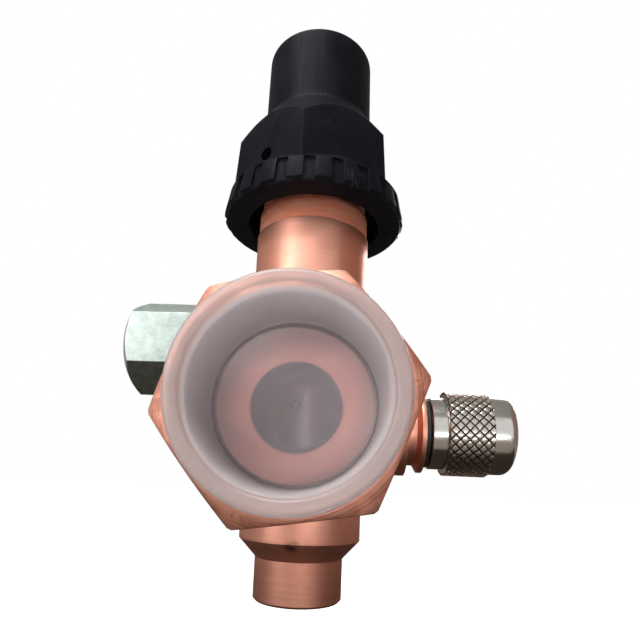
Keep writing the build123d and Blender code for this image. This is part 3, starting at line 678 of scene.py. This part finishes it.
def turned_piece(profile, sides):
    """Solid about Z through (radius, height) corners, drawn ring by ring.

    A profile that starts and ends at radius 0 is closed at the axis; any other returns to its start."""
    solid = profile[0][0] == 0
    rings = profile[1:-1] if solid else profile
    radius, height = rings[0]
    fill = "TRIFAN" if solid else "NOTHING"
    bpy.ops.mesh.primitive_circle_add(vertices=sides, radius=radius, fill_type=fill)
    piece = bpy.context.object
    for vertex in piece.data.vertices:
        on_axis = vertex.co.to_2d().length < radius / 2
        vertex.co.z = profile[0][1] if on_axis else height
        vertex.select = not on_axis
    bpy.ops.object.mode_set(mode="EDIT")
    for next_radius, next_height in rings[1:]:
        bpy.ops.mesh.extrude_region_move(TRANSFORM_OT_translate={"value": (0, 0, next_height - height)})
        scale = next_radius / radius
        bpy.ops.transform.resize(value=(scale, scale, 1), center_override=(0, 0, next_height))
        radius, height = next_radius, next_height
    if solid:
        bpy.ops.mesh.extrude_region_move(TRANSFORM_OT_translate={"value": (0, 0, profile[-1][1] - height)})
        bpy.ops.mesh.merge(type="CENTER")
    bpy.ops.mesh.select_all(action="SELECT")
    bpy.ops.mesh.remove_doubles(threshold=0.001 * MM)
    bpy.ops.mesh.normals_make_consistent(inside=False)
    leave_edit()
    return piece


def screw_ridge(outline, pitch, turns, sides):
    """Thread ridge about Z: an outline of (radius, height) corners wound by a screw modifier."""
    count = len(outline)
    bpy.ops.mesh.primitive_circle_add(vertices=count, radius=1.0, fill_type="NGON")
    ridge = bpy.context.object
    for vertex, (radius, height) in zip(ridge.data.vertices, outline):
        vertex.co = (radius, 0, height)
    apply_modifier(
        ridge, "Winding", "SCREW", axis="Z", angle=2 * math.pi * turns, screw_offset=pitch * turns,
        steps=int(sides * turns), render_steps=int(sides * turns), use_merge_vertices=False,
    )
    edit(ridge)
    bpy.ops.mesh.remove_doubles(threshold=0.001 * MM)
    bpy.ops.mesh.fill_holes(sides=0)
    bpy.ops.mesh.select_all(action="SELECT")
    bpy.ops.mesh.normals_make_consistent(inside=False)
    leave_edit()
    return ridge


# ---- operators ----
MATERIALS = {}


def material_for(key):
    """Each finish is made once, when the first piece asks for it."""
    chosen, plug = settings("valve_copper"), settings("valve_plug")
    port = (0, 0, PORT_AXIS_HEIGHT)
    right = (0, 0, RIGHT_HEIGHT)
    left = (0, 0, LEFT_HEIGHT)
    makers = {
        "copper_body": lambda: copper(
            "copper_body", (0, 0, 0), ALONG_Z, chosen.line_pitch, 0.006 * MM,
            smudge=(BURNT_SPOT, BURNT_SIZE), band=(COLLAR_HEIGHT, COLLAR_PITCH), bore=BODY_BORE,
        ),
        "copper_nut": lambda: copper(
            "copper_nut", (0, 0, NUT_AXIS_HEIGHT), ALONG_Y, chosen.nut_line_pitch, 0.045 * MM,
            stain_cover=0.4, wear=1.0,
        ),
        "copper_stub": lambda: copper(
            "copper_stub", port, ALONG_Y, chosen.nut_line_pitch, 0.016 * MM, stain_cover=0.35,
            bore=STUB_BORE,
        ),
        "copper_right": lambda: copper("copper_right", right, ALONG_X, chosen.line_pitch, 0.006 * MM),
        "copper_left": lambda: copper("copper_left", left, ALONG_X, chosen.line_pitch, 0.006 * MM),
        "nickel": lambda: nickel("nickel"),
        "knurled_nickel": lambda: knurled_nickel("knurled_nickel"),
        "shaded_groove_nickel": lambda: shaded_groove_nickel("shaded_groove_nickel"),
        "zinc": lambda: zinc("zinc"),
        "black_nylon": lambda: black_nylon("black_nylon"),
        "frosted_flange": lambda: polyethylene(
            "frosted_flange", plug.wall_roughness, plug.flange_clearness, plug.flange_shaded_colour
        ),
        "frosted_wall": lambda: polyethylene(
            "frosted_wall", plug.wall_roughness, plug.wall_clearness, plug.colour
        ),
        "frosted_floor": lambda: polyethylene(
            "frosted_floor", plug.floor_roughness, plug.floor_clearness, plug.floor_glow_colour
        ),
        "rubber": lambda: soft_solid("rubber", (0.008, 0.008, 0.008), (0.016, 0.015, 0.015), 0.5, 0.4 * MM),
        "fluoropolymer": lambda: soft_solid(
            "fluoropolymer", (0.82, 0.82, 0.80), (0.72, 0.71, 0.68), 0.4, 0.6 * MM
        ),
        "brass": lambda: plain_metal("brass", (0.72, 0.50, 0.22), (0.50, 0.31, 0.12), 0.26, right, ALONG_X),
        "steel": lambda: plain_metal(
            "steel", (0.46, 0.45, 0.46), (0.32, 0.31, 0.31), 0.36, (0, 0, 0), ALONG_Z
        ),
        "soft_copper": lambda: plain_metal(
            "soft_copper", (0.82, 0.42, 0.30), (0.52, 0.20, 0.13), 0.3, left, ALONG_X
        ),
    }
    if key not in MATERIALS:
        MATERIALS[key] = makers[key]()
    return MATERIALS[key]


class VALVE_OT_copper_pieces(bpy.types.Operator):
    """Dress the plated body, compressor stub, port fittings and compressor nut"""

    bl_idname = "valve.copper_pieces"
    bl_label = "Copper pieces"

    def execute(self, context):
        width = settings("valve_edges").metal_edge
        dressed = (
            ("valve_body", "valve", "copper_body", width),
            ("compressor_stub", "valve", "copper_stub", 0.6 * width),
            ("right_port_fitting", "valve", "copper_right", 0.7 * width),
            ("left_port_fitting", "valve", "copper_left", 0.7 * width),
            ("compressor_nut", "port_nut", "copper_nut", 1.2 * width),
        )
        for node, body, key, edge in dressed:
            piece = dressed_copy(node, edge)
            finish_piece(
                piece, node + "_dressed", body, "copper_plated_steel", [material_for(key)], node
            )
        return {"FINISHED"}


class VALVE_OT_threads(bpy.types.Operator):
    """Wind the threads of the nut, the two gauge ports and the stem cap's seat"""

    bl_idname = "valve.threads"
    bl_label = "Threads"

    def execute(self, context):
        chosen = settings("valve_threads")
        self.nut_thread(chosen.nut_pitch)
        self.port_thread("right", 1, chosen.port_pitch)
        self.port_thread("left", -1, chosen.port_pitch)
        self.cap_thread(chosen.cap_pitch)
        return {"FINISHED"}

    def nut_thread(self, pitch):
        root, crest = 12.72 * MM, 12.05 * MM
        start, length = STUB_FACE + 0.6 * MM, NUT_FACE - STUB_FACE - 1.6 * MM
        outline = [(root, -0.45 * pitch), (root, 0.45 * pitch), (crest, 0.1 * pitch), (crest, -0.1 * pitch)]
        turns = (length - pitch) / pitch
        ridge = screw_ridge(outline, pitch, turns, 72)
        lay_in_place(ridge, (math.pi / 2, 0, 0), (0, -start - pitch / 2, NUT_AXIS_HEIGHT))
        smooth(ridge, 35)
        finish_piece(ridge, "nut_thread", "port_nut", "copper_plated_steel", [material_for("copper_nut")])

    def port_thread(self, side, direction, pitch):
        low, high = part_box(side + "_port_fitting")
        height = RIGHT_HEIGHT if direction > 0 else LEFT_HEIGHT
        reach = abs(high[0] if direction > 0 else low[0])
        end = reach - 1.9 * MM
        length = 7.6 * MM
        outline = male_outline(4.93 * MM, 5.50 * MM, pitch)
        ridge = screw_ridge(outline, pitch, (length - pitch) / pitch, 48)
        start = direction * (end - length + pitch / 2)
        lay_in_place(ridge, (0, direction * math.pi / 2, 0), (start, 0, height))
        smooth(ridge, 35)
        key = "copper_" + side
        finish_piece(ridge, side + "_port_thread", "valve", "copper_plated_steel", [material_for(key)])

    def cap_thread(self, pitch):
        length = 7.0 * MM
        outline = male_outline(8.88 * MM, 9.44 * MM, pitch)
        ridge = screw_ridge(outline, pitch, (length - pitch) / pitch, 72)
        lay_in_place(ridge, (0, 0, 0), (0, 0, BODY_TOP - 0.9 * MM - length + pitch / 2))
        smooth(ridge, 35)
        finish_piece(
            ridge, "stem_cap_seat_thread", "valve", "copper_plated_steel", [material_for("copper_body")]
        )


class VALVE_OT_knurled_cap(bpy.types.Operator):
    """Turn the nickel cap and raise its diamond knurl"""

    bl_idname = "valve.knurled_cap"
    bl_label = "Knurled cap"

    def execute(self, context):
        chosen = settings("valve_knurl")
        low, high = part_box("right_port_cap")
        start, length = low[0], high[0] - low[0]
        radius = (high[1] - low[1]) / 2
        shell = self.shell(length, radius, chosen.depth)
        knurl = self.diamonds(chosen, radius)
        lay_in_place(shell, (0, math.pi / 2, 0), (start, 0, RIGHT_HEIGHT))
        lay_in_place(knurl, (0, math.pi / 2, 0), (start, 0, RIGHT_HEIGHT))
        smooth(shell, 28)
        smooth(knurl, 40)
        finish_piece(
            shell, "knurled_cap_shell", "right_cap", "nickel_plated_brass",
            [material_for("nickel"), material_for("shaded_groove_nickel")], "right_port_cap",
        )
        self.paint_groove_floor(shell, radius - chosen.depth)
        finish_piece(knurl, "knurl", "right_cap", "nickel_plated_brass", [material_for("knurled_nickel")])
        return {"FINISHED"}

    def shell(self, length, radius, depth):
        skirt, nose, groove = 6.2 * MM, 6.75 * MM, radius - depth
        bore, seat = 5.65 * MM, 1.6 * MM
        bore_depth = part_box("right_cap_seal")[1][0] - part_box("right_port_cap")[0][0] + 0.1 * MM
        profile = [
            (skirt - 0.15 * MM, 0), (skirt, 0.15 * MM), (skirt, 2.5 * MM), (groove - 0.3 * MM, 2.6 * MM),
            (groove, 2.75 * MM), (groove, 9.55 * MM), (groove - 0.3 * MM, 9.7 * MM), (nose, 9.85 * MM),
            (nose, length - seat),
        ]
        rounding = 6
        for step in range(1, rounding + 1):
            angle = math.pi / 2 * step / rounding
            profile.append((nose - seat + seat * math.cos(angle), length - seat + seat * math.sin(angle)))
        inside = [(0, bore_depth), (bore, bore_depth), (bore, 0)]
        return turned_piece(inside + profile + [(0, length)], 96)

    def diamonds(self, chosen, radius):
        """One column of diamonds, spun round the cap twice, half a step apart."""
        pitch_angle = 2 * math.pi / chosen.around
        foot_radius = radius - chosen.depth
        half_along = chosen.row_pitch / 2
        half_across = math.pi * radius / chosen.around
        knurl_low, knurl_high = 2.62 * MM, 9.68 * MM
        rows = int((knurl_high - knurl_low) / half_along) + 2
        columns = []
        for offset in (0, 1):
            deselect()
            heights = [knurl_low + row * half_along for row in range(offset, rows, 2)]
            column = join([
                self.diamond(chosen, half_along, half_across, foot_radius, height) for height in heights
            ])
            edit(column)
            bpy.ops.mesh.spin(
                steps=chosen.around, dupli=True, angle=2 * math.pi, center=(0, 0, 0), axis=(0, 0, 1)
            )
            bpy.ops.mesh.select_all(action="SELECT")
            bpy.ops.mesh.remove_doubles(threshold=0.004 * MM)
            leave_edit()
            lay_in_place(column, (0, 0, offset * pitch_angle / 2), (0, 0, 0))
            columns.append(column)
        knurl = join(columns)
        for height, normal in ((knurl_low, -1), (knurl_high, 1)):
            edit(knurl)
            bpy.ops.mesh.bisect(
                plane_co=(0, 0, height), plane_no=(0, 0, normal), clear_outer=True, use_fill=True
            )
            leave_edit()
        edit(knurl)
        bpy.ops.mesh.normals_make_consistent(inside=False)
        leave_edit()
        return knurl

    def diamond(self, chosen, half_along, half_across, foot_radius, height):
        """A worn diamond: foot, shoulder and a broad flat top, facing along +X."""
        bpy.ops.mesh.primitive_cone_add(
            vertices=4, radius1=1.0, radius2=chosen.top_share, depth=1.0, end_fill_type="NGON",
            location=(0, 0, 0),
        )
        tile = bpy.context.object
        edit(tile)
        bpy.ops.mesh.select_all(action="DESELECT")
        leave_edit()
        for face in tile.data.polygons:
            face.select = all(tile.data.vertices[index].co.z > 0 for index in face.vertices)
        bpy.ops.object.mode_set(mode="EDIT")
        bpy.ops.mesh.select_mode(type="FACE")
        bpy.ops.mesh.inset(thickness=0.14)
        bpy.ops.transform.translate(value=(0, 0, 0.12))
        bpy.ops.mesh.select_mode(type="VERT")
        leave_edit()
        grow = 0.97
        for vertex in tile.data.vertices:
            spread_x, spread_y, rise = vertex.co
            share = min(1.0, (rise + 0.5) / 1.12)
            vertex.co = (
                foot_radius - 0.06 * MM + (chosen.depth + 0.03 * MM) * share,
                spread_y * half_across * grow,
                spread_x * half_along * grow + height,
            )
        return tile

    def paint_groove_floor(self, shell, radius):
        """Painted shade sits between the diamonds, on the groove floor."""
        for face in shell.data.polygons:
            centre = face.center - Vector((0, 0, RIGHT_HEIGHT))
            out = math.hypot(centre.y, centre.z)
            if abs(out - radius) < 0.02 * MM:
                face.material_index = 1


class VALVE_OT_hexagon_cap(bpy.types.Operator):
    """Dress the zinc-plated hexagon cap with rounded edges"""

    bl_idname = "valve.hexagon_cap"
    bl_label = "Hexagon cap"

    def execute(self, context):
        piece = dressed_copy("left_port_cap", settings("valve_edges").hexagon_edge, segments=3, angle=20)
        finish_piece(
            piece, "left_port_cap_dressed", "left_cap", "zinc_plated_steel", [material_for("zinc")],
            "left_port_cap",
        )
        return {"FINISHED"}


class VALVE_OT_stem_cap(bpy.types.Operator):
    """Dress the moulded stem cap with soft edges"""

    bl_idname = "valve.stem_cap"
    bl_label = "Stem cap"

    def execute(self, context):
        piece = dressed_copy("stem_cap", settings("valve_edges").moulded_edge, segments=3, angle=18)
        finish_piece(
            piece, "stem_cap_dressed", "cap", "black_nylon", [material_for("black_nylon")], "stem_cap"
        )
        return {"FINISHED"}


class VALVE_OT_protective_plug(bpy.types.Operator):
    """Turn the frosted plug with its rolled flange, funnel, floor and gate mark"""

    bl_idname = "valve.protective_plug"
    bl_label = "Protective plug"

    def execute(self, context):
        low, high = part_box("protective_plug")
        front, back = -low[1], -high[1]
        flange = (high[0] - low[0]) / 2
        floor_thickness, flange_thickness, inside = 0.7 * MM, 2.2 * MM, 11.1 * MM
        floor, flange_back = back + floor_thickness, front - flange_thickness
        profile = [
            (0, back), (inside + 0.1 * MM, back), (inside + 0.6 * MM, back + 0.4 * MM),
            (11.7 * MM, back + 1.1 * MM), (11.95 * MM, flange_back - 0.4 * MM), (12.2 * MM, flange_back),
        ]
        profile += self.arc(flange - 0.5 * MM, flange_back + 0.5 * MM, 0.5 * MM, -90, 0, 5)
        profile += self.arc(flange - 0.7 * MM, front - 0.7 * MM, 0.7 * MM, 0, 90, 6)
        profile += [
            (flange - 1.6 * MM, front - 0.02 * MM), (12.05 * MM, front - 0.14 * MM),
            (11.8 * MM, front - 0.5 * MM), (11.42 * MM, front - 1.9 * MM), (11.3 * MM, front - 2.6 * MM),
            (inside, floor + 1.0 * MM),
            (inside - 0.05 * MM, floor + 0.5 * MM), (inside - 0.3 * MM, floor + 0.14 * MM),
            (inside - 0.55 * MM, floor + 0.1 * MM), (inside - 0.75 * MM, floor),
            (0.62 * MM, floor), (0.56 * MM, floor + 0.16 * MM), (0.4 * MM, floor + 0.16 * MM),
            (0.3 * MM, floor + 0.05 * MM), (0, floor + 0.04 * MM),
        ]
        plug = turned_piece(profile, 144)
        lay_in_place(plug, (math.pi / 2, 0, 0), (0, 0, PORT_AXIS_HEIGHT))
        smooth(plug, 50)
        finish_piece(
            plug, "protective_plug_turned", "plug", "frosted_polyethylene",
            [material_for(key) for key in ("frosted_wall", "frosted_floor", "frosted_flange")],
            "protective_plug",
        )
        for face in plug.data.polygons:
            away = math.hypot(face.center.x, face.center.z - PORT_AXIS_HEIGHT)
            if away < inside - 0.6 * MM:
                face.material_index = 1
            elif -face.center.y > front - 0.4 * MM or away > flange - 1.7 * MM:
                face.material_index = 2
        return {"FINISHED"}

    def arc(self, radius, height, rounding, start, end, count):
        """Corners along a quarter round of the flange."""
        corners = []
        for step in range(count + 1):
            angle = math.radians(start + (end - start) * step / count)
            corners.append((radius + rounding * math.cos(angle), height + rounding * math.sin(angle)))
        return corners


class VALVE_OT_inner_pieces(bpy.types.Operator):
    """Give the seals, stem, packing and valve core their finishes"""

    bl_idname = "valve.inner_pieces"
    bl_label = "Inner pieces"

    FINISHES = {
        "rubber": ("right_port_o_ring", "right_cap_seal", "stem_cap_seal"),
        "soft_copper": ("left_cap_gasket",),
        "brass": ("valve_core_body", "valve_core_pin", "stem_disc"),
        "steel": ("stem", "packing_washer", "gland_nut", "valve_core_spring"),
        "fluoropolymer": ("packing_rings", "valve_core_seal"),
    }

    def execute(self, context):
        for key, nodes in self.FINISHES.items():
            for node in nodes:
                NODES[node].data.materials.clear()
                NODES[node].data.materials.append(material_for(key))
        return {"FINISHED"}


class VALVE_OT_stage(bpy.types.Operator):
    """Set the pale floor, soft lamps, warm cards and camera"""

    bl_idname = "valve.stage"
    bl_label = "Stage"

    def execute(self, context):
        chosen = settings("valve_stage")
        self.floor(chosen.floor_drop)
        self.world()
        self.lamps(chosen)
        self.cards()
        self.camera(chosen)
        context.scene.view_settings.view_transform = "Standard"
        return {"FINISHED"}

    def pale_emission(self, tree, shader_socket, lit, unlit):
        """Strength lit for camera, glossy and transmission rays, unlit for the rest."""
        rays = put(tree, "ShaderNodeLightPath").outputs
        seen = maths(tree, "MAXIMUM", rays["Is Camera Ray"], rays["Is Glossy Ray"])
        seen = maths(tree, "MAXIMUM", seen, rays["Is Transmission Ray"])
        tree.links.new(steps(tree, seen, 0.0, 1.0, unlit, lit), shader_socket)

    def floor(self, drop):
        bpy.ops.mesh.primitive_plane_add(size=6.0, location=(0, 0, -drop))
        floor = bpy.context.object
        floor.name = "pale_floor"
        material, tree, shader = start_material("pale_floor")
        shader.inputs["Base Color"].default_value = (0.86, 0.86, 0.86, 1)
        shader.inputs["Roughness"].default_value = 0.9
        shader.inputs["Emission Color"].default_value = (1, 1, 1, 1)
        self.pale_emission(tree, shader.inputs["Emission Strength"], 0.7, 0.0)
        floor.data.materials.append(material)

    def world(self):
        world = bpy.data.worlds.new("pale_room")
        world.use_nodes = True
        background = world.node_tree.nodes["Background"]
        background.inputs["Color"].default_value = (1, 1, 1, 1)
        self.pale_emission(world.node_tree, background.inputs["Strength"], 1.0, 0.35)
        bpy.context.scene.world = world

    def lamps(self, chosen):
        """A soft key from the front left, two low lamps, an upper lamp and one behind."""
        aim = Vector((0, 0, 40 * MM))
        rig = (
            ("key_lamp", (-0.34, -0.40, 0.19), (0.17, 0.34), chosen.key_power),
            ("low_strip", (0.075, -0.27, -0.012), (0.15, 0.045), chosen.strip_power),
            ("low_left_lamp", (-0.20, -0.19, -0.02), (0.07, 0.05), 0.4 * chosen.strip_power),
            ("top_lamp", (-0.05, -0.10, 0.27), (0.16, 0.16), chosen.top_power),
            ("back_lamp", (0.08, 0.21, 0.14), (0.14, 0.14), chosen.back_power),
        )
        for name, place, size, power in rig:
            bpy.ops.object.light_add(type="AREA", location=place)
            lamp = bpy.context.object
            lamp.name = name
            lamp.rotation_euler = (aim - Vector(place)).to_track_quat("-Z", "Y").to_euler()
            lamp.data.shape = "RECTANGLE"
            lamp.data.size, lamp.data.size_y = size
            lamp.data.energy = power

    def cards(self):
        """Warm cards that only gloss can see give the metal its contrast."""
        quarter = math.radians(90)
        layout = (
            ("card_below", (0, 0.10, -0.036), (0.44, 0.30), (0, 0, 0), (0.045, 0.034, 0.026)),
            ("card_before", (0, -0.17, -0.036), (0.60, 0.24), (0, 0, 0), (0.38, 0.32, 0.29)),
            ("card_above", (0, 0.00, 0.30), (0.50, 0.50), (0, 0, 0), (0.34, 0.33, 0.31)),
            ("card_right", (0.24, 0.03, 0.13), (0.33, 0.44), (0, quarter, 0), (0.34, 0.22, 0.18)),
            ("card_left", (-0.24, 0.09, 0.13), (0.33, 0.32), (0, quarter, 0), (0.48, 0.40, 0.36)),
            ("card_behind", (0, 0.25, 0.13), (0.48, 0.33), (quarter, 0, 0), (0.20, 0.15, 0.13)),
        )
        for name, place, size, turn, colour in layout:
            bpy.ops.mesh.primitive_plane_add(size=1.0, location=place, rotation=turn)
            card = bpy.context.object
            card.name = name
            card.scale = (size[0], size[1], 1)
            material, tree, shader = start_material(name)
            shader.inputs["Base Color"].default_value = (0, 0, 0, 1)
            shader.inputs["Specular IOR Level"].default_value = 0.0
            shader.inputs["Emission Color"].default_value = (*colour, 1)
            shader.inputs["Emission Strength"].default_value = 1.0
            card.data.materials.append(material)
            card.visible_camera = False
            card.visible_diffuse = False
            card.visible_transmission = False
            card.visible_shadow = False

    def camera(self, chosen):
        bpy.ops.object.camera_add(location=chosen.camera_place, rotation=chosen.camera_turn)
        camera = bpy.context.object
        camera.data.lens = chosen.lens
        camera.data.sensor_width = 36.0
        camera.data.shift_x, camera.data.shift_y = chosen.shift
        camera.data.clip_start = 0.005
        bpy.context.scene.camera = camera


class VALVE_PT_panel(bpy.types.Panel):
    """Lists the valve's pieces in the sidebar"""

    bl_idname = "VALVE_PT_panel"
    bl_label = "Service valve"
    bl_space_type = "VIEW_3D"
    bl_region_type = "UI"
    bl_category = "Valve"

    def draw(self, context):
        for operator in OPERATORS:
            self.layout.operator(operator.bl_idname)
        for name, group in SETTINGS.items():
            box = self.layout.box()
            for prop in group.__annotations__:
                box.prop(getattr(context.scene, name), prop)


OPERATORS = (
    VALVE_OT_copper_pieces,
    VALVE_OT_threads,
    VALVE_OT_knurled_cap,
    VALVE_OT_hexagon_cap,
    VALVE_OT_stem_cap,
    VALVE_OT_protective_plug,
    VALVE_OT_inner_pieces,
    VALVE_OT_stage,
)


def register():
    for group in SETTINGS.values():
        bpy.utils.register_class(group)
    for name, group in SETTINGS.items():
        setattr(bpy.types.Scene, name, PointerProperty(type=group))
    for cls in (*OPERATORS, VALVE_PT_panel):
        bpy.utils.register_class(cls)


def unregister():
    for cls in reversed((*OPERATORS, VALVE_PT_panel)):
        bpy.utils.unregister_class(cls)
    for name in SETTINGS:
        delattr(bpy.types.Scene, name)
    for group in reversed(SETTINGS.values()):
        bpy.utils.unregister_class(group)


def main():
    register()
    deselect()
    bpy.ops.valve.copper_pieces()
    bpy.ops.valve.threads()
    bpy.ops.valve.knurled_cap()
    bpy.ops.valve.hexagon_cap()
    bpy.ops.valve.stem_cap()
    bpy.ops.valve.protective_plug()
    bpy.ops.valve.inner_pieces()
    bpy.ops.valve.stage()
    bpy.context.view_layer.update()


if __name__ == "__main__":
    main()
